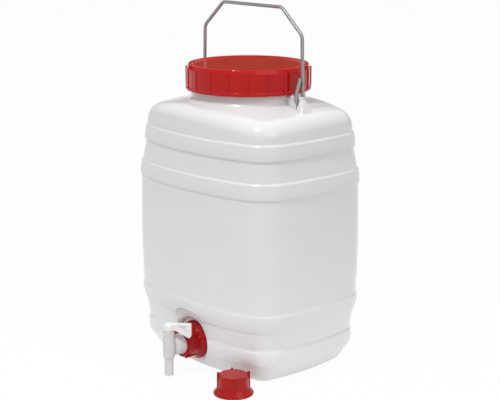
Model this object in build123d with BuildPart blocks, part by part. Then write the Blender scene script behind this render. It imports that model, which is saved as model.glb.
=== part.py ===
"""A ten-litre fermentation and drinks barrel: blow-moulded tank, screw lid, wire bail, tap and closing cap.

Millimetres, +Z up. The origin is the middle of the tank's base, on the surface it stands on.
The tap faces -Y and the bail swings about an axis along X.
"""

import os
from math import atan2, cos, degrees, hypot, radians, sin, sqrt

from build123d import *

# Tank plan: a rounded rectangle with bowed sides
tank_width = 238.0
tank_depth = 191.0
corner_radius = 38.0
front_bow = 22.0
side_bow = 16.0
tank_wall = 2.5

# Tank upright profile: levels above the floor and insets from the plan outline
foot_radius = 20.0
foot_inset = 22.5
rib_step = 1.5
rib_bow = 1.1
rib_radius = 40.0
ledge_height = 1.8
ledge_round = 3.4
# Each rib: level and inset of its lower edge, level and inset of its upper edge
ribs = (
    (24.0, 6.3, 41.5, 5.4),
    (64.0, 2.1, 84.0, -1.1),
    (213.0, -1.6, 231.0, -0.2),
    (254.0, 4.1, 272.0, 5.6),
)
panel_bow = 1.9
panel_radius = 1400.0
shoulder_inset = 12.0
dome_radius = 460.0
dome_edge_level = 304.4
shoulder_round = 21.0
base_recess = 4.0
base_inset = 44.0
base_taper = 20.0
# The block that fills the middle of the plan, inside the corner arcs
core_margin = 3.0
core_lap = 1.0

# Neck and screw lid
neck_radius = 64.8
neck_wall = 3.6
neck_level = 340.5
neck_round = 8.0
lid_clearance = 2.0
lid_wall = 3.5
lid_bottom = 317.0
lid_height = 29.0
lid_bead = 1.3
lid_bead_height = 3.8
lid_rim_taper = 2.3
lid_rim_width = 4.0
lid_recess = 1.7
lid_lip_round = 0.4
lid_bead_round = 0.8
lid_bead_fillet = 1.5
lid_shoulder_round = 2.5
lid_rim_round = 1.6
lid_panel_round = 0.8
lid_rib_count = 20
lid_rib_width = 3.0
lid_rib_height = 1.3
lid_rib_phase = 10.5
lid_rib_drop = 5.0
seal_thickness = 1.6
seal_side_gap = 0.4

# Wire bail and the lugs it hangs in
wire_diameter = 4.0
bail_half_width = 83.0
bail_splay = 2.0
bail_axis_level = 313.5
bail_leg_height = 68.5
bail_height = 97.5
bail_bar_half = 48.5
bail_bend_radius = 9.0
hook_gap = 0.4
hook_height = 22.5
hook_knee = 6.0
hook_tail_gap = 0.45
hook_flat = 0.2
lug_bar_radius = 2.8
lug_thickness = 5.0
lug_window = 5.6
lug_reach = 14.0
lug_foot = 7.5
lug_base = 20.0
lug_round = 1.6

# Tap opening in the front of the tank
tap_level = 35.0
pocket_depth = 14.5
pocket_radius = 26.0
pocket_round = 2.5
pocket_lip = 6.5
pocket_brow = 6.5
pocket_brow_rise = 5.0
boss_radius = 13.1
boss_bore = 10.0
boss_length = 14.8

# Threaded caps: the tap's nut and the closing cap share one moulding
cap_height = 22.0
cap_end_wall = 3.0
cap_body_radius = 17.2
cap_flange_radius = 22.2
cap_flange_edge = 1.8
cap_flange_rise = 8.0
cap_tier_radius = 16.3
cap_tier_level = 18.4
cap_tier_slope = 0.6
cap_bore_clearance = 0.9
cap_crown = 0.6
cap_foot_round = 0.5
cap_flange_round = 0.6
cap_root_round = 4.0
cap_tier_round = 0.3
cap_edge_round = 1.2
wing_pair = 2
wing_width = 2.4
wing_radius = 18.3
wing_depth = 3.2
wing_round = 0.5
rib_wing_rise = 0.9
ear_wing_rise = 2.7
cap_seat_gap = 0.4
nut_turn = 38.0
washer_thickness = 2.0

# Tap body and plug
tap_flange_thickness = 2.4
tap_tube_radius = 9.4
tap_tube_bore = 6.8
tap_nut_clearance = 0.4
collar_radius = 11.6
collar_thickness = 1.0
drum_radius = 10.9
drum_round = 3.5
tap_axis_reach = 40.3
tap_tube_end_gap = 5.0
valve_radius = 6.6
valve_top = 55.0
valve_bottom = 22.4
valve_round = 1.6
valve_floor = 1.5
spout_radius = 5.2
spout_bore = 3.4
spout_end_level = 2.0
plug_radius = 5.0
plug_clearance = 0.05
plug_bore = 3.2
plug_end_gap = 0.4
port_radius = 3.2
lever_heading = 40.0
lever_gap = 0.3
lever_dome_radius = 6.3
lever_dome_height = 8.0
lever_dome_round = 4.0
lever_reach = 26.0
lever_thickness = 5.5
lever_tip_top = 8.3
lever_tip_bottom = -8.8
lever_tip_cut = 2.5
lever_root_bottom = 0.4
lever_edge_drop = 0.5
lever_corner_round = 2.0
lever_root_round = 2.0
lever_edge_round = 0.8
lever_pocket_depth = 1.9
lever_pocket_frame = 2.0
lever_pocket_start = 11.0
lever_pocket_end = 21.6
lever_pocket_foot = -2.8

# Closing cap, lying beside the tank
closing_cap_x = 87.5
closing_cap_gap = 6.3
closing_cap_turn = -36.0

half_width = tank_width / 2
half_depth = tank_depth / 2
front_radius = (half_width**2 + front_bow**2) / (2 * front_bow)
side_radius = (half_depth**2 + side_bow**2) / (2 * side_bow)
front_centre = (0.0, half_depth - front_radius)
side_centre = (half_width - side_radius, 0.0)
tap_face = half_depth - pocket_depth


def meet_circles(first, first_radius, second, second_radius):
    """The crossing of two circles in the plan that lies furthest towards +X and +Y."""
    span = hypot(second[0] - first[0], second[1] - first[1])
    along = (first_radius**2 - second_radius**2 + span**2) / (2 * span)
    across = sqrt(first_radius**2 - along**2)
    ux = (second[0] - first[0]) / span
    uy = (second[1] - first[1]) / span
    crossings = [
        (first[0] + along * ux - side * across * uy, first[1] + along * uy + side * across * ux)
        for side in (-1, 1)
    ]
    return max(crossings, key=sum)


# The corner arc is tangent inside to the front and side arcs
corner_centre = meet_circles(
    front_centre, front_radius - corner_radius, side_centre, side_radius - corner_radius
)
side_turn = degrees(atan2(corner_centre[1], corner_centre[0] - side_centre[0]))
front_turn = degrees(atan2(corner_centre[1] - front_centre[1], corner_centre[0]))
quarter_arcs = (
    (side_centre, side_radius, 0.0, side_turn),
    (corner_centre, corner_radius, side_turn, front_turn),
    (front_centre, front_radius, front_turn, 90.0),
)
core_inset = corner_radius - core_margin
dome_centre = dome_edge_level - sqrt(dome_radius**2 - neck_radius**2)
tank_block_top = dome_centre + dome_radius + shoulder_round


def dome_level(distance, skin=0.0):
    """Height of the shoulder dome at a distance from the tank's axis."""
    return dome_centre + sqrt((dome_radius - skin) ** 2 - distance**2)


def upright_points(skin):
    """Inset and level of each corner of the tank's upright profile, from the base to the top."""
    points = [(core_inset, skin), (foot_inset + skin, skin)]
    radii = [foot_radius - skin]
    last_level, last_inset = foot_radius, foot_inset
    for order, (low, low_inset, high, high_inset) in enumerate(ribs):
        if order == len(ribs) // 2:
            points.append(((low_inset + last_inset) / 2 - panel_bow + skin, (low + last_level) / 2))
            radii.append(panel_radius)
        corners = (
            (low_inset + rib_step, low - ledge_height / 2, ledge_round),
            (low_inset, low + ledge_height / 2, ledge_round),
            ((low_inset + high_inset) / 2 - rib_bow, (low + high) / 2, rib_radius),
            (high_inset, high - ledge_height / 2, ledge_round),
            (high_inset + rib_step, high + ledge_height / 2, ledge_round),
        )
        points += [(inset + skin, level) for inset, level, _ in corners]
        radii += [rounding for *_, rounding in corners]
        last_level, last_inset = high, high_inset + rib_step
    points.append((shoulder_inset + skin, tank_block_top))
    return points, radii


def plan_face(inset):
    """A face with the tank's plan outline, drawn in by an inset."""
    with BuildSketch() as plan:
        with BuildLine():
            for mirror_x, mirror_y in ((1, 1), (-1, 1), (-1, -1), (1, -1)):
                for (centre_x, centre_y), radius, start, stop in quarter_arcs:
                    turns = [radians(turn) for turn in (start, (start + stop) / 2, stop)]
                    ThreePointArc(
                        *[
                            (
                                mirror_x * (centre_x + (radius - inset) * cos(turn)),
                                mirror_y * (centre_y + (radius - inset) * sin(turn)),
                            )
                            for turn in turns
                        ]
                    )
        make_face()
    return plan.sketch


def tank_form(skin):
    """The tank's closed form, drawn in by a skin thickness: outside it is 0, inside it is the wall."""
    points, radii = upright_points(skin)
    with BuildPart(mode=Mode.PRIVATE) as form:
        for centre, radius, start, stop in quarter_arcs:
            heading = radians(start)
            upright = Plane(
                origin=(*centre, 0),
                x_dir=(cos(heading), sin(heading), 0),
                z_dir=(sin(heading), -cos(heading), 0),
            )
            with BuildSketch(upright):
                with BuildLine():
                    outline = [(radius - inset, level) for inset, level in points]
                    wall_line = FilletPolyline(*outline, radius=radii)
                    Polyline(
                        wall_line @ 1,
                        (radius - core_inset, tank_block_top),
                        wall_line @ 0,
                    )
                make_face()
            revolve(axis=Axis((*centre, 0), (0, 0, 1)), revolution_arc=stop - start)
        mirror(about=Plane.XZ)
        mirror(about=Plane.YZ)
        with BuildSketch(Plane.XY.offset(skin)):
            add(plan_face(core_inset - core_lap))
        extrude(amount=tank_block_top - skin)
        with BuildSketch(Plane.XZ):
            with BuildLine():
                reach = tank_width
                edge = dome_level(reach, skin)
                crown = dome_centre + dome_radius - skin
                low = -foot_radius
                Polyline((0, crown), (0, low), (reach, low), (reach, edge))
                RadiusArc((reach, edge), (0, crown), -(dome_radius - skin))
            make_face()
        revolve(axis=Axis.Z, mode=Mode.INTERSECT)
        shoulder_low = dome_level(hypot(half_width, half_depth)) - shoulder_round
        shoulder = [
            edge
            for edge in form.edges()
            if edge.center().Z > shoulder_low and abs((edge @ 1 - edge @ 0).Z) < shoulder_round
        ]
        fillet(shoulder, radius=shoulder_round - skin)
    return form.part


# Tap seat: the flat in the tank's pocket, with the seat's own Z pointing out of the tank
tap_seat = Plane(origin=(0, -tap_face, tap_level), x_dir=(1, 0, 0), z_dir=(0, -1, 0))
tap_axis = Axis(tap_seat.origin, tap_seat.z_dir)
pocket_mouth = pocket_round + pocket_lip
pocket_flared = pocket_radius + pocket_lip
pocket_edge = pocket_flared + pocket_brow


def turned(seat):
    """The plane through a seat's axis, for profiles drawn as distance from the axis and height."""
    return Plane(origin=seat.origin, x_dir=seat.x_dir, z_dir=-seat.y_dir)


# Tank hollow: the inner form, the neck's bore and the inside of the pocket and base recess
neck_bore = neck_radius - neck_wall
base_plate = (tank_width - 2 * base_inset, tank_depth - 2 * base_inset)
with BuildPart() as tank_hollow:
    add(tank_form(tank_wall))
    with BuildSketch(Plane.XY.offset(dome_edge_level - shoulder_round)):
        Circle(neck_bore)
    extrude(amount=neck_level - dome_edge_level + shoulder_round + tank_wall)
    for level, radius in ((0.0, pocket_radius), (pocket_mouth, pocket_edge)):
        with BuildSketch(tap_seat.offset(level - tank_wall)):
            Circle(radius + tank_wall)
        extrude(amount=half_depth, mode=Mode.SUBTRACT)
    with BuildSketch():
        RectangleRounded(base_plate[0] + 2 * tank_wall, base_plate[1] + 2 * tank_wall, foot_radius)
    extrude(amount=base_recess + tank_wall, mode=Mode.SUBTRACT)

# Lugs: a web runs out from the neck, a gusset stands beyond the window and a round bar joins them
lug_inner = neck_radius - neck_wall / 2
window_inner = bail_half_width - lug_window / 2
window_outer = bail_half_width + lug_window / 2
lug_end = bail_half_width + lug_reach
lug_bar_end = lug_end - lug_foot
lug_root = dome_level(lug_end) - tank_wall


def lug_gusset():
    """The outer post of the lug at +X, spread at its foot and narrow at the bar."""
    with BuildPart(mode=Mode.PRIVATE) as gusset:
        ends = ((lug_root, lug_end, lug_base), (bail_axis_level, lug_bar_end, lug_thickness))
        for level, end, width in ends:
            with BuildSketch(Plane.XY.offset(level)):
                with Locations(((window_outer + end) / 2, 0)):
                    Rectangle(end - window_outer, width)
        loft()
        outer = [edge for edge in gusset.edges() if edge.center().X > window_outer + lug_round]
        fillet([edge for edge in outer if abs((edge @ 1 - edge @ 0).Z) > lug_round], radius=lug_round)
    return gusset.part


# Tank: shell with ribs, domed shoulder, neck, two pierced lugs, tap pocket and threaded boss
with BuildPart() as tank:
    add(tank_form(0.0))
    with BuildSketch(Plane.XY.offset(dome_edge_level - shoulder_round)):
        Circle(neck_radius)
    extrude(amount=neck_level - dome_edge_level + shoulder_round)
    neck_side = tank.faces().filter_by(GeomType.CYLINDER).sort_by(Axis.Z)[-1]
    neck_foot = [edge for edge in neck_side.edges() if edge.bounding_box().max.Z < lid_bottom]
    fillet(neck_foot, radius=neck_round)
    for lug_plane in (Plane.XY, Plane.XY.rotated((0, 0, 180))):
        add(lug_plane * lug_gusset())
        with BuildSketch(lug_plane.offset(lug_root)):
            with Locations(((lug_inner + window_inner) / 2, 0)):
                Rectangle(window_inner - lug_inner, lug_thickness)
        extrude(amount=bail_axis_level - lug_root)
        with BuildSketch(Plane(lug_plane * Pos(lug_inner, 0, bail_axis_level) * Rot(0, 90, 0))):
            Circle(lug_bar_radius)
        extrude(amount=lug_bar_end - lug_inner)
    with BuildSketch(turned(tap_seat)):
        with BuildLine():
            pocket_floor = pocket_radius - pocket_round
            brow_top = pocket_mouth + pocket_brow_rise
            brow_radius = (pocket_brow**2 + pocket_brow_rise**2) / (2 * pocket_brow_rise)
            Polyline((0, half_depth), (0, 0), (pocket_floor, 0))
            RadiusArc((pocket_floor, 0), (pocket_radius, pocket_round), -pocket_round)
            RadiusArc((pocket_radius, pocket_round), (pocket_flared, pocket_mouth), pocket_lip)
            RadiusArc((pocket_flared, pocket_mouth), (pocket_edge, brow_top), -brow_radius)
            Polyline((pocket_edge, brow_top), (pocket_edge, half_depth), (0, half_depth))
        make_face()
    revolve(axis=tap_axis, mode=Mode.SUBTRACT)
    with BuildSketch(tap_seat.offset(-tank_wall)):
        Circle(boss_radius)
    extrude(amount=boss_length + tank_wall)
    add(tank_hollow.part, mode=Mode.SUBTRACT)
    with BuildSketch(tap_seat.offset(boss_length)):
        Circle(boss_bore)
    extrude(amount=-(boss_length + 2 * tank_wall), mode=Mode.SUBTRACT)
    with BuildSketch():
        RectangleRounded(*base_plate, foot_radius)
    extrude(amount=base_recess, taper=base_taper, mode=Mode.SUBTRACT)

# Lid seal: a flat ring between the neck's rim and the lid
lid_bore = neck_radius + lid_clearance
with BuildPart() as lid_seal:
    with BuildSketch(Plane.XY.offset(neck_level)):
        Circle(lid_bore - seal_side_gap)
        Circle(neck_bore, mode=Mode.SUBTRACT)
    extrude(amount=seal_thickness)

# Lid: ribbed skirt over the neck, top plate over the seal, low rim round a sunk panel
lid_skirt = lid_bore + lid_wall
lid_top = lid_bottom + lid_height
lid_ceiling = neck_level + seal_thickness
lid_rim_outer = lid_skirt - lid_rim_taper
lid_rim_inner = lid_rim_outer - lid_rim_width
lid_panel = lid_top - lid_recess
rib_low = lid_bottom + lid_bead_height / 2
rib_high = lid_top - lid_rib_drop
with BuildPart() as lid:
    with BuildSketch(Plane.XZ):
        with BuildLine():
            FilletPolyline(
                (lid_bore, lid_ceiling),
                (lid_bore, lid_bottom),
                (lid_skirt + lid_bead, lid_bottom),
                (lid_skirt + lid_bead, lid_bottom + lid_bead_height - lid_bead),
                (lid_skirt, lid_bottom + lid_bead_height),
                (lid_skirt, rib_high),
                (lid_rim_outer, lid_top),
                (lid_rim_inner, lid_top),
                (lid_rim_inner - lid_recess, lid_panel),
                (0, lid_panel),
                radius=[
                    lid_lip_round,
                    lid_bead_round,
                    lid_bead_round,
                    lid_bead_fillet,
                    lid_shoulder_round,
                    lid_rim_round,
                    lid_rim_round,
                    lid_panel_round,
                ],
            )
            Polyline(
                (0, lid_panel),
                (0, lid_ceiling),
                (lid_bore, lid_ceiling),
            )
        make_face()
    revolve(axis=Axis.Z)
    rib_centre = lid_skirt + lid_rib_height - lid_rib_width / 2
    with BuildSketch(Plane.XY.offset(rib_low)):
        with PolarLocations(rib_centre, lid_rib_count, start_angle=lid_rib_phase):
            Circle(lid_rib_width / 2)
    extrude(amount=rib_high - rib_low)
    with Locations((0, 0, rib_high)):
        with PolarLocations(rib_centre, lid_rib_count, start_angle=lid_rib_phase):
            Sphere(lid_rib_width / 2)

# Bail: one steel wire, bent to a flat-topped bow, each end hooked through a lug and closed on its leg
hook_radius = lug_bar_radius + hook_gap + wire_diameter / 2
tail_across = hook_radius - wire_diameter - hook_tail_gap
half_bail = (
    (bail_half_width, tail_across, hook_height),
    (bail_half_width, -hook_radius, hook_knee),
    (bail_half_width, -hook_radius, -hook_radius),
    (bail_half_width, hook_radius, -hook_radius),
    (bail_half_width - bail_splay, hook_radius, bail_leg_height),
    (bail_bar_half, hook_radius, bail_height),
)
hook_bend = hook_radius - hook_flat / 2
half_bends = (hook_knee, hook_bend, hook_bend, bail_bend_radius, bail_bend_radius)
bail_points = [(x, y, bail_axis_level + rise) for x, y, rise in half_bail]
bail_points += [(-x, y, z) for x, y, z in reversed(bail_points)]
with BuildPart() as bail:
    with BuildLine() as bail_line:
        FilletPolyline(*bail_points, radius=[*half_bends, *reversed(half_bends)])
    with BuildSketch(Plane(origin=bail_line.line @ 0, z_dir=bail_line.line % 0)):
        Circle(wire_diameter / 2)
    sweep(path=bail_line.line)


# Screw caps: a flanged cup with two ribs and two taller ears that stand above its crown
cap_bore = boss_radius + cap_bore_clearance


def screw_cap(seat, turn, hole):
    """A cap on a seat plane: the seat's Z runs from the flange to the crown."""
    with BuildPart(mode=Mode.PRIVATE) as cap:
        with BuildSketch(turned(seat)):
            with BuildLine():
                FilletPolyline(
                    (cap_bore, 0),
                    (cap_flange_radius, 0),
                    (cap_flange_radius, cap_flange_edge),
                    (cap_body_radius, cap_flange_rise),
                    (cap_body_radius, cap_tier_level),
                    (cap_tier_radius, cap_tier_level + cap_tier_slope),
                    (cap_tier_radius, cap_height),
                    (hole, cap_height + cap_crown),
                    radius=[
                        cap_foot_round,
                        cap_flange_round,
                        cap_root_round,
                        cap_tier_round,
                        cap_tier_round,
                        cap_edge_round,
                    ],
                )
                Polyline(
                    (hole, cap_height + cap_crown),
                    (hole, cap_height - cap_end_wall),
                    (cap_bore, cap_height - cap_end_wall),
                    (cap_bore, 0),
                )
            make_face()
        revolve(axis=Axis(seat.origin, seat.z_dir))
        for heading, rise in ((turn, rib_wing_rise), (turn + 90, ear_wing_rise)):
            with BuildSketch(seat.offset(cap_flange_edge)):
                with PolarLocations(wing_radius - wing_depth / 2, wing_pair, start_angle=heading):
                    Rectangle(wing_depth, wing_width)
            extrude(amount=cap_height + rise - cap_flange_edge)
            wing_ends = cap.faces().sort_by(Axis(seat.origin, seat.z_dir))[-wing_pair:]
            fillet(wing_ends.edges(), radius=wing_round)
    return cap.part


# Tap: washer on the boss, body through the nut, plug with its lever in the body's valve
nut_seat = tap_seat.offset(cap_seat_gap)
washer_start = boss_length
flange_start = washer_start + washer_thickness
nut_crown = cap_seat_gap + cap_height + cap_crown
collar_start = nut_crown + cap_seat_gap / 2
valve_y = -(tap_face + tap_axis_reach)
tube_end = tap_axis_reach - tap_tube_end_gap
tube_floor = tube_end - (tap_tube_radius - tap_tube_bore) / 2

with BuildPart() as tap_washer:
    with BuildSketch(tap_seat.offset(washer_start)):
        Circle(boss_radius)
        Circle(boss_bore, mode=Mode.SUBTRACT)
    extrude(amount=washer_thickness)

with BuildPart() as tap_nut:
    add(screw_cap(nut_seat, nut_turn, tap_tube_radius + tap_nut_clearance))

with BuildPart() as tap_body:
    with BuildSketch(turned(tap_seat)):
        with BuildLine():
            Polyline(
                (0, flange_start),
                (boss_radius, flange_start),
                (boss_radius, flange_start + tap_flange_thickness),
                (tap_tube_radius, flange_start + tap_flange_thickness),
                (tap_tube_radius, collar_start),
                (collar_radius, collar_start),
                (collar_radius, collar_start + collar_thickness),
                (drum_radius, collar_start + collar_thickness),
                (drum_radius, tube_end),
                (0, tube_end),
                close=True,
            )
        make_face()
    revolve(axis=tap_axis)
    fillet(tap_body.faces().sort_by(tap_axis)[-1].edges(), radius=drum_round)
    with BuildSketch(Plane(origin=(0, valve_y, valve_bottom))):
        Circle(valve_radius)
    extrude(amount=valve_top - valve_bottom)
    fillet(tap_body.faces().sort_by(Axis.Z)[0].edges(), radius=valve_round)
    with BuildSketch(Plane(origin=(0, valve_y, spout_end_level))):
        Circle(spout_radius)
    extrude(amount=valve_bottom - spout_end_level + valve_floor / 2)
    with BuildSketch(tap_seat.offset(flange_start)):
        Circle(tap_tube_bore)
    extrude(amount=tube_floor - flange_start, mode=Mode.SUBTRACT)
    with BuildSketch(tap_seat.offset(flange_start)):
        Circle(port_radius)
    extrude(amount=tap_axis_reach - flange_start, mode=Mode.SUBTRACT)
    with BuildSketch(Plane(origin=(0, valve_y, valve_top))):
        Circle(plug_radius)
    extrude(amount=-(valve_top - valve_bottom - valve_floor), mode=Mode.SUBTRACT)
    with BuildSketch(Plane(origin=(0, valve_y, spout_end_level))):
        Circle(spout_bore)
    extrude(amount=valve_top - spout_end_level, mode=Mode.SUBTRACT)

lever_seat = Plane(
    origin=(0, valve_y, valve_top + lever_gap),
    x_dir=(cos(radians(lever_heading)), sin(radians(lever_heading)), 0),
    z_dir=(0, 0, 1),
)
plug_end = valve_bottom + valve_floor + plug_end_gap
blade = turned(lever_seat)
with BuildPart() as tap_plug:
    with BuildSketch(blade):
        with BuildLine():
            FilletPolyline(
                (0, lever_root_bottom),
                (valve_radius + lever_gap, lever_root_bottom),
                (lever_reach - lever_tip_cut, lever_tip_bottom),
                (lever_reach, lever_tip_bottom + lever_tip_cut),
                (lever_reach, lever_tip_top),
                (0, lever_dome_height - lever_edge_drop),
                radius=[lever_root_round, *[lever_corner_round] * 3],
            )
            Line((0, lever_dome_height - lever_edge_drop), (0, lever_root_bottom))
        make_face()
    extrude(amount=lever_thickness / 2, both=True)
    blade_sides = tap_plug.faces().sort_by(Axis(blade.origin, blade.z_dir))
    fillet(blade_sides[0].edges() + blade_sides[-1].edges(), radius=lever_edge_round)
    with BuildSketch(blade):
        with BuildLine():
            dome_foot = (lever_dome_radius, 0)
            dome_top = (0, lever_dome_height)
            dome_edge = (lever_dome_radius, lever_dome_height)
            FilletPolyline(dome_foot, dome_edge, dome_top, radius=lever_dome_round)
            Polyline(dome_top, (0, 0), dome_foot)
        make_face()
    revolve(axis=Axis(lever_seat.origin, lever_seat.z_dir))
    for side in (1, -1):
        with BuildSketch(blade.offset(side * (lever_thickness / 2))):
            with BuildLine():
                Polyline(
                    (lever_pocket_start, lever_tip_top - lever_pocket_frame),
                    (lever_pocket_end, lever_tip_top - lever_pocket_frame),
                    (lever_pocket_end, lever_pocket_foot),
                    close=True,
                )
            make_face()
        extrude(amount=-side * lever_pocket_depth, mode=Mode.SUBTRACT)
    with BuildSketch(lever_seat):
        Circle(plug_radius - plug_clearance)
    extrude(amount=plug_end - valve_top - lever_gap)
    with BuildSketch(Plane(origin=(0, valve_y, plug_end))):
        Circle(plug_bore)
    extrude(amount=tap_level + port_radius - plug_end, mode=Mode.SUBTRACT)
    with BuildSketch(Plane(origin=(0, valve_y, tap_level), z_dir=-lever_seat.x_dir)):
        Circle(port_radius)
    extrude(amount=plug_radius, mode=Mode.SUBTRACT)

# Closing cap and its seal disc, standing beside the tank on its flange
closing_seat = Plane(origin=(closing_cap_x, -(half_depth + closing_cap_gap), 0))
with BuildPart() as closing_cap:
    add(screw_cap(closing_seat, closing_cap_turn, 0.0))

with BuildPart() as closing_cap_seal:
    with BuildSketch(closing_seat.offset(cap_height - cap_end_wall)):
        Circle(cap_bore - seal_side_gap)
    extrude(amount=-washer_thickness)

os.makedirs("parts", exist_ok=True)
pieces = {
    "tank": tank,
    "lid": lid,
    "lid_seal": lid_seal,
    "bail": bail,
    "tap_washer": tap_washer,
    "tap_nut": tap_nut,
    "tap_body": tap_body,
    "tap_plug": tap_plug,
    "closing_cap": closing_cap,
    "closing_cap_seal": closing_cap_seal,
}
for name, piece in pieces.items():
    piece.part.label = name
    export_step(piece.part, f"parts/{name}.step")
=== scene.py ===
"""Looks of a ten-litre fermentation barrel with a screw lid, wire bail, tap and closing cap.

Metres, +Z up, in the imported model's own frame. The tap points along -Y.
"""

from math import cos, pi, radians, sin, tau

import bmesh
import bpy
from mathutils import Matrix, Vector


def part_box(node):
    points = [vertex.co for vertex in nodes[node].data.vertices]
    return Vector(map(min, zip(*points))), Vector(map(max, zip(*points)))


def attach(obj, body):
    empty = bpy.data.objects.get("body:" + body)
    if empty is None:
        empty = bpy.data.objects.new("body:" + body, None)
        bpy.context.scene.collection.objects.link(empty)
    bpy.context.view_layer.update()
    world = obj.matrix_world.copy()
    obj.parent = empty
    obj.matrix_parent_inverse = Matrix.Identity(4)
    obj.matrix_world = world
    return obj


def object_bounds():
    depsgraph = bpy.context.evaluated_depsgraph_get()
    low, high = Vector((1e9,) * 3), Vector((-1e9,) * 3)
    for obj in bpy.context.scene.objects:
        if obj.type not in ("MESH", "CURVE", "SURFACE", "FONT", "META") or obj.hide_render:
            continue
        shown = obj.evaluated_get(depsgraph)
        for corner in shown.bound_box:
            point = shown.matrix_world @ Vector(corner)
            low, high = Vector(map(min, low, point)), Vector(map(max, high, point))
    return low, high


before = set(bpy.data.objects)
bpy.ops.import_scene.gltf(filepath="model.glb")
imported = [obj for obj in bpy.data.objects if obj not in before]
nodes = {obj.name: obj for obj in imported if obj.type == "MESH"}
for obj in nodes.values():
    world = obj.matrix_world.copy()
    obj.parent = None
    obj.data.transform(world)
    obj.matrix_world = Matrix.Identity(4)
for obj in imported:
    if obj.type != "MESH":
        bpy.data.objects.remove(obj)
cad_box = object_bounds()

MM = 0.001

# Camera: where the photograph was taken from, and its lens
PHOTO_WIDTH_PX = 500
FOCAL_LENGTH_PX = 1317.2
SENSOR_WIDTH = 36.0
CAMERA_PLACE = Vector((1.1012, -1.0019, 0.5368))
CAMERA_AZIMUTH = radians(47.634)
CAMERA_PITCH = radians(13.27)

# Room: dim walls under a bright ceiling. The light climbs between two heights of the sky's sphere.
WALL_COLOUR = (0.15, 0.09, 0.06)
CEILING_COLOUR = (0.785, 0.79, 0.812)
CEILING_FROM = 0.14
CEILING_FULL = 0.42

# Lamps: power, size, heading from +X towards -Y, elevation and distance
KEY_LAMP = (7.6, 0.22, radians(74), radians(57), 1.5)
FILL_LAMP = (7.6, 1.4, radians(2), radians(32), 2.2)

# Floor: a white disc that curls up at its edge and throws less light back far from the barrel
FLOOR_RADIUS = 12.0
FLOOR_SEGMENTS = 96
FLOOR_GLOW = 0.94
COVE_RADIUS = 2.4
COVE_TURN = radians(65)
COVE_STEPS = 10
BOUNCE_NEAR = 0.25
BOUNCE_FAR = 1.0
BOUNCE_HIGH = (0.9, 0.9, 0.9)
BOUNCE_LOW = (0.12, 0.12, 0.12)
WHITE_LIGHT = (1.0, 1.0, 1.0, 1.0)

# Finishes: the darker and the lighter tone of each
MILKY_TONES = ((0.84, 0.844, 0.844), (0.88, 0.885, 0.886))
LID_TONES = ((0.5, 0.004, 0.002), (0.58, 0.006, 0.004))
# The nut and closing cap take the lid's red painted darker: painted shade for where they sit low
# and in shadow.
SHADE_PAINTED_RED_TONES = ((0.36, 0.004, 0.002), (0.43, 0.006, 0.004))
WIRE_TONES = ((0.32, 0.322, 0.325), (0.4, 0.402, 0.406))
TAP_TONES = ((0.69, 0.68, 0.67), (0.77, 0.76, 0.75))
LEVER_TONES = ((0.88, 0.88, 0.88), (0.93, 0.93, 0.93))
RUBBER_TONES = ((0.018, 0.018, 0.018), (0.04, 0.04, 0.04))
DIE_LINES = (70.0, 70.0, 3.0)

# Screw threads: rounded ridges that wind up the neck, the boss and the insides of the caps
THREAD_STEPS = 72
THREAD_ARC_STEPS = 8
THREAD_SINK = 0.25 * MM
THREAD_RUN_OUT = 9
THREAD_END_STEP = 0.5
NECK_PITCH = 12.0 * MM
NECK_RIDGE = 1.3 * MM
NECK_RIDGE_WIDTH = 4.2 * MM
NECK_RADIUS = 64.8 * MM
LID_BORE_RADIUS = 66.8 * MM
NECK_SPAN = (323.0 * MM, 337.0 * MM)
LID_SPAN = (320.0 * MM, 337.0 * MM)
LID_THREAD_START = radians(90)
CAP_PITCH = 4.0 * MM
CAP_RIDGE = 0.55 * MM
CAP_RIDGE_WIDTH = 1.6 * MM
BOSS_RADIUS = 13.1 * MM
CAP_BORE_RADIUS = 14.0 * MM
BOSS_SPAN = (2.5 * MM, 13.0 * MM)
CAP_SPAN = (4.5 * MM, 14.5 * MM)
TAP_SEAT = Matrix.Translation((0.0, -81.0 * MM, 35.0 * MM)) @ Matrix.Rotation(pi / 2, 4, "X")

# The pinched weld under the tank
WELD_LENGTH = 128.0 * MM
WELD_WIDTH = 1.4 * MM
WELD_DEPTH = 1.2 * MM
WELD_BEVEL = 0.4 * MM
WELD_BEVEL_STEPS = 3
WELD_LEVEL = 4.0 * MM


class Value:
    """An output socket of a finish. Arithmetic on it adds Math nodes."""

    def __init__(self, finish, socket):
        self.finish = finish
        self.socket = socket

    def maths(self, operation, *operands):
        inputs = dict(enumerate(operands))
        return self.finish.node("ShaderNodeMath", {"operation": operation}, inputs)

    def __add__(self, other):
        return self.maths("ADD", self, other)

    def __sub__(self, other):
        return self.maths("SUBTRACT", self, other)

    def __rsub__(self, other):
        return self.maths("SUBTRACT", other, self)

    def __mul__(self, other):
        return self.maths("MULTIPLY", self, other)

    __radd__ = __add__
    __rmul__ = __mul__


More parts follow.
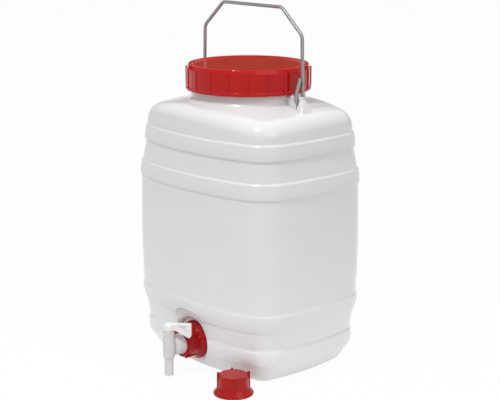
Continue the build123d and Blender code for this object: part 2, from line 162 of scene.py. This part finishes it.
class Finish:
    """A material or world whose nodes are written as expressions."""

    def __init__(self, owner):
        owner.use_nodes = True
        self.owner = owner
        self.tree = owner.node_tree
        self.tree.nodes.clear()

    def node(self, kind, settings=None, inputs=None, output=0):
        """A node of that kind: its settings first, then the values or links of its sockets."""
        made = self.tree.nodes.new(kind)
        for name, setting in (settings or {}).items():
            setattr(made, name, setting)
        for name, given in (inputs or {}).items():
            if isinstance(given, Value):
                self.tree.links.new(given.socket, made.inputs[name])
            else:
                made.inputs[name].default_value = given
        return Value(self, made.outputs[output]) if made.outputs else None

    def place(self, scale=(1.0, 1.0, 1.0)):
        """Object coordinates, stretched."""
        coordinates = self.node("ShaderNodeTexCoord", output="Object")
        return self.node("ShaderNodeMapping", None, {"Vector": coordinates, "Scale": scale})

    def noise(self, place, scale, detail):
        """Soft noise from 0 to 1 about a half."""
        inputs = {"Vector": place, "Scale": scale, "Detail": detail}
        return self.node("ShaderNodeTexNoise", None, inputs)

    def between(self, mask, low, high):
        """The colour between two as a mask goes from 0 to 1."""
        inputs = {"Factor": mask, "A": (*low, 1.0), "B": (*high, 1.0)}
        return self.node("ShaderNodeMix", {"data_type": "RGBA"}, inputs, output=2)

    def climb(self, value, low, high):
        """A mask that climbs from 0 to 1 as a value goes from low to high."""
        inputs = {"Value": value, "From Min": low, "From Max": high}
        return self.node("ShaderNodeMapRange", {"interpolation_type": "SMOOTHSTEP"}, inputs)

    def bump(self, height, distance, under=None):
        """A bumped normal, over another where one is given."""
        inputs = {"Height": height, "Distance": distance}
        if under is not None:
            inputs["Normal"] = under
        return self.node("ShaderNodeBump", None, inputs)

    def surface(self, **inputs):
        """The finished surface, with underscores for spaces in its sockets' names."""
        named = {name.replace("_", " "): given for name, given in inputs.items()}
        shader = self.node("ShaderNodeBsdfPrincipled", None, named)
        self.node("ShaderNodeOutputMaterial", None, {"Surface": shader})
        return self.owner


def new_finish(name):
    return Finish(bpy.data.materials.new(name))


def milky_polyethylene():
    """Blow-moulded natural polyethylene: cloudy wall, faint upright die lines, fine satin skin."""
    finish = new_finish("milky_polyethylene")
    place = finish.place()
    clouds = finish.noise(place, scale=11.0, detail=3.0)
    streaks = finish.noise(finish.place(DIE_LINES), scale=1.0, detail=2.0)
    skin = finish.noise(place, scale=900.0, detail=2.0)
    drawn = finish.bump(streaks, 0.05 * MM)
    return finish.surface(
        Base_Color=finish.between(clouds, *MILKY_TONES),
        Roughness=0.36 + clouds * 0.1 + skin * 0.05,
        Normal=finish.bump(skin, 0.008 * MM, drawn),
        Subsurface_Weight=0.15,
        Subsurface_Radius=(0.0025, 0.0024, 0.0023),
        Subsurface_Scale=1.0,
        Specular_IOR_Level=0.1,
        Coat_Weight=0.85,
        Coat_Roughness=0.2,
        Coat_IOR=1.65,
        IOR=1.5,
    )


def glossy_red(name, tones):
    """Injection-moulded red polypropylene: deep colour, soft flow marks and a polished skin."""
    finish = new_finish(name)
    place = finish.place()
    flow = finish.noise(place, scale=60.0, detail=3.0)
    skin = finish.noise(place, scale=1400.0, detail=2.0)
    return finish.surface(
        Base_Color=finish.between(flow, *tones),
        Roughness=0.04 + flow * 0.04 + skin * 0.02,
        Normal=finish.bump(skin, 0.002 * MM, finish.bump(flow, 0.02 * MM)),
        Specular_IOR_Level=0.26,
        IOR=1.49,
    )


def drawn_steel():
    """Drawn wire with dull spots in its plating."""
    finish = new_finish("drawn_steel")
    spots = finish.noise(finish.place(), scale=260.0, detail=3.0)
    return finish.surface(
        Base_Color=finish.between(spots, *WIRE_TONES),
        Metallic=1.0,
        Roughness=0.44 + spots * 0.1,
        Normal=finish.bump(spots, 0.001 * MM),
    )


def tap_moulding(name, tones):
    """Injection-moulded tap plastic with a soft gloss."""
    finish = new_finish(name)
    place = finish.place()
    flow = finish.noise(place, scale=90.0, detail=3.0)
    skin = finish.noise(place, scale=1600.0, detail=2.0)
    return finish.surface(
        Base_Color=finish.between(flow, *tones),
        Roughness=0.28 + flow * 0.08 + skin * 0.05,
        Normal=finish.bump(skin, 0.006 * MM),
        Subsurface_Weight=0.15,
        Subsurface_Radius=(0.003, 0.003, 0.003),
        IOR=1.49,
    )


def dark_rubber():
    """Matt sealing rubber with a bloom."""
    finish = new_finish("dark_rubber")
    bloom = finish.noise(finish.place(), scale=300.0, detail=3.0)
    return finish.surface(
        Base_Color=finish.between(bloom, *RUBBER_TONES),
        Roughness=0.62 + bloom * 0.2,
        Normal=finish.bump(bloom, 0.03 * MM),
    )


def white_rays(finish):
    """1 for the rays that see the backdrop itself: camera, glossy and transmission rays."""
    seen = finish.node("ShaderNodeLightPath", output="Is Camera Ray")
    glossy = finish.node("ShaderNodeLightPath", output="Is Glossy Ray")
    through = finish.node("ShaderNodeLightPath", output="Is Transmission Ray")
    return seen.maths("MAXIMUM", seen.maths("MAXIMUM", seen, glossy), through)


def white_floor():
    """A floor that glows white where it is seen, keeps its shadows and lights what stands near."""
    finish = new_finish("white_floor")
    place = finish.node("ShaderNodeTexCoord", output="Object")
    length = {"operation": "LENGTH"}
    away = finish.node("ShaderNodeVectorMath", length, {0: place}, output="Value")
    seen = white_rays(finish)
    dim = finish.climb(away, BOUNCE_NEAR, BOUNCE_FAR) * (1 - seen)
    colour = finish.between(dim, BOUNCE_HIGH, BOUNCE_LOW)
    lit = finish.node("ShaderNodeBsdfDiffuse", None, {"Color": colour})
    glow = finish.node("ShaderNodeEmission", None, {"Color": WHITE_LIGHT, "Strength": 1.0})
    mixed = finish.node("ShaderNodeMixShader", None, {0: seen * FLOOR_GLOW, 1: lit, 2: glow})
    finish.node("ShaderNodeOutputMaterial", None, {"Surface": mixed})
    return finish.owner


def add_object(name, shape, finish):
    """A new smooth object from a bmesh in the frame's own metres."""
    mesh = bpy.data.meshes.new(name)
    shape.to_mesh(mesh)
    shape.free()
    for face in mesh.polygons:
        face.use_smooth = True
    mesh.materials.append(finish)
    made = bpy.data.objects.new(name, mesh)
    bpy.context.scene.collection.objects.link(made)
    return made


def add_world():
    """The room: its light climbs from the walls to the ceiling."""
    world = bpy.data.worlds.new("studio")
    bpy.context.scene.world = world
    finish = Finish(world)
    heading = finish.node("ShaderNodeTexCoord", output="Generated")
    height = finish.node("ShaderNodeSeparateXYZ", None, {"Vector": heading}, output="Z")
    mask = finish.climb(height, CEILING_FROM, CEILING_FULL)
    colour = finish.between(mask, WALL_COLOUR, CEILING_COLOUR)
    light = finish.node("ShaderNodeBackground", None, {"Color": colour, "Strength": 1.0})
    finish.node("ShaderNodeOutputWorld", None, {"Surface": light})


def add_floor():
    """A white disc with its edge curled up all round, like a photographer's cove."""
    shape = bmesh.new()
    bmesh.ops.create_circle(shape, cap_ends=True, segments=FLOOR_SEGMENTS, radius=FLOOR_RADIUS)
    rim = [edge for edge in shape.edges if edge.is_boundary]
    for step in range(1, COVE_STEPS + 1):
        grown = bmesh.ops.extrude_edge_only(shape, edges=rim)["geom"]
        rim = [part for part in grown if isinstance(part, bmesh.types.BMEdge)]
        ring = [part for part in grown if isinstance(part, bmesh.types.BMVert)]
        turn = COVE_TURN * step / COVE_STEPS
        spread = (FLOOR_RADIUS + COVE_RADIUS * sin(turn)) / ring[0].co.xy.length
        bmesh.ops.scale(shape, vec=(spread, spread, 1.0), verts=ring)
        rise = COVE_RADIUS * (1.0 - cos(turn)) - ring[0].co.z
        bmesh.ops.translate(shape, vec=(0.0, 0.0, rise), verts=ring)
    bmesh.ops.recalc_face_normals(shape, faces=shape.faces)
    floor = add_object("floor", shape, white_floor())


def add_lamp(name, power, size, heading, elevation, distance):
    """A square soft lamp that points at the middle of the barrel."""
    lamp = bpy.data.lights.new(name, "AREA")
    lamp.energy = power
    lamp.size = size
    made = bpy.data.objects.new(name, lamp)
    middle = (cad_box[0] + cad_box[1]) / 2
    level = cos(elevation)
    away = Vector((cos(heading) * level, -sin(heading) * level, sin(elevation)))
    made.location = middle + away * distance
    made.rotation_euler = (middle - made.location).to_track_quat("-Z", "Y").to_euler()
    bpy.context.scene.collection.objects.link(made)


def add_camera():
    lens = bpy.data.cameras.new("camera")
    lens.sensor_width = SENSOR_WIDTH
    lens.lens = FOCAL_LENGTH_PX * SENSOR_WIDTH / PHOTO_WIDTH_PX
    made = bpy.data.objects.new("camera", lens)
    made.location = CAMERA_PLACE
    made.rotation_euler = (pi / 2 - CAMERA_PITCH, 0.0, CAMERA_AZIMUTH)
    bpy.context.scene.collection.objects.link(made)
    bpy.context.scene.camera = made


def dress(node, finish):
    nodes[node].data.materials.clear()
    nodes[node].data.materials.append(finish)


def add_piece(name, shape, body, finish):
    """A new piece that moves with a body, in the finish that is given."""
    piece = add_object(name, shape, finish)
    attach(piece, body)


def thread(radius, ridge, width, pitch, span, seat):
    """A rounded ridge that winds right-handed up the seat's Z and fades out at both ends.

    A ridge below 0 stands on an inside wall.
    """
    low, high = span
    root = radius - THREAD_SINK if ridge > 0 else radius + THREAD_SINK
    shape = bmesh.new()
    profile = []
    for step in range(THREAD_ARC_STEPS + 1):
        turn = pi * step / THREAD_ARC_STEPS
        place = (radius + ridge * sin(turn), 0.0, low - width / 2 * cos(turn))
        profile.append(shape.verts.new(place))
    profile += [shape.verts.new((root, 0.0, low + side * width / 2)) for side in (1, -1)]
    ring = [shape.edges.new(pair) for pair in zip(profile, profile[1:] + profile[:1])]
    steps = round((high - low) / pitch * THREAD_STEPS)
    wound = bmesh.ops.spin(
        shape,
        geom=profile + ring,
        axis=(0.0, 0.0, 1.0),
        dvec=(0.0, 0.0, pitch / THREAD_STEPS),
        angle=tau * steps / THREAD_STEPS,
        steps=steps,
    )
    last = [part for part in wound["geom_last"] if isinstance(part, bmesh.types.BMEdge)]
    bmesh.ops.edgeloop_fill(shape, edges=ring)
    bmesh.ops.edgeloop_fill(shape, edges=last)
    shape.verts.index_update()
    for vert in shape.verts:
        order = vert.index // len(profile)
        from_end = min(order, steps - order) + THREAD_END_STEP
        fade = min(1.0, from_end / THREAD_RUN_OUT)
        reach = vert.co.xy.length
        vert.co.xy *= (root + (reach - root) * fade) / reach
    bmesh.ops.recalc_face_normals(shape, faces=shape.faces)
    bmesh.ops.transform(shape, matrix=seat, verts=shape.verts)
    return shape


def wide_thread(radius, ridge, span, seat):
    """The coarse thread of the neck and lid."""
    return thread(radius, ridge, NECK_RIDGE_WIDTH, NECK_PITCH, span, seat)


def small_thread(radius, ridge, span, seat):
    """The finer thread of the boss, nut and closing cap."""
    return thread(radius, ridge, CAP_RIDGE_WIDTH, CAP_PITCH, span, seat)


def base_weld():
    """The pinched seam across the underside of a blow-moulded tank."""
    shape = bmesh.new()
    bmesh.ops.create_cube(shape, size=1.0)
    bmesh.ops.scale(shape, vec=(WELD_LENGTH, WELD_WIDTH, 2 * WELD_DEPTH), verts=shape.verts)
    bmesh.ops.translate(shape, vec=(0.0, 0.0, WELD_LEVEL), verts=shape.verts)
    bmesh.ops.bevel(
        shape,
        geom=shape.edges,
        offset=WELD_BEVEL,
        affect="EDGES",
        segments=WELD_BEVEL_STEPS,
        profile=0.5,
        material=-1,
    )
    return shape


bpy.context.scene.view_settings.view_transform = "Standard"
add_world()
add_floor()
add_lamp("key", *KEY_LAMP)
add_lamp("fill", *FILL_LAMP)
add_camera()

lid_red = glossy_red("lid_red", LID_TONES)
# A darker copy of the lid's red: painted shade for the nut and the closing cap.
shade_painted_red = glossy_red("shade_painted_red", SHADE_PAINTED_RED_TONES)
rubber = dark_rubber()
milky = milky_polyethylene()
dress("tank", milky)
dress("bail", drawn_steel())
dress("tap_body", tap_moulding("grey_white_moulding", TAP_TONES))
dress("tap_plug", tap_moulding("white_moulding", LEVER_TONES))
dress("lid", lid_red)
# The nut and closing cap wear the red with painted shade.
for node in ("tap_nut", "closing_cap"):
    dress(node, shade_painted_red)
for node in ("lid_seal", "tap_washer", "closing_cap_seal"):
    dress(node, rubber)

cap_low, cap_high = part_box("closing_cap")
cap_middle = (cap_low + cap_high) / 2
cap_seat = Matrix.Translation((cap_middle.x, cap_middle.y, 0.0))
lid_start = Matrix.Rotation(LID_THREAD_START, 4, "Z")
neck_thread = wide_thread(NECK_RADIUS, NECK_RIDGE, NECK_SPAN, Matrix.Identity(4))
lid_thread = wide_thread(LID_BORE_RADIUS, -NECK_RIDGE, LID_SPAN, lid_start)
boss_thread = small_thread(BOSS_RADIUS, CAP_RIDGE, BOSS_SPAN, TAP_SEAT)
nut_thread = small_thread(CAP_BORE_RADIUS, -CAP_RIDGE, CAP_SPAN, TAP_SEAT)
cap_thread = small_thread(CAP_BORE_RADIUS, -CAP_RIDGE, CAP_SPAN, cap_seat)
add_piece("neck_thread", neck_thread, "tank", milky)
add_piece("lid_thread", lid_thread, "lid", lid_red)
add_piece("boss_thread", boss_thread, "tank", milky)
# The nut's and cap's threads share the red with painted shade.
add_piece("nut_thread", nut_thread, "tap_nut", shade_painted_red)
add_piece("cap_thread", cap_thread, "closing_cap", shade_painted_red)
add_piece("base_weld", base_weld(), "tank", milky)
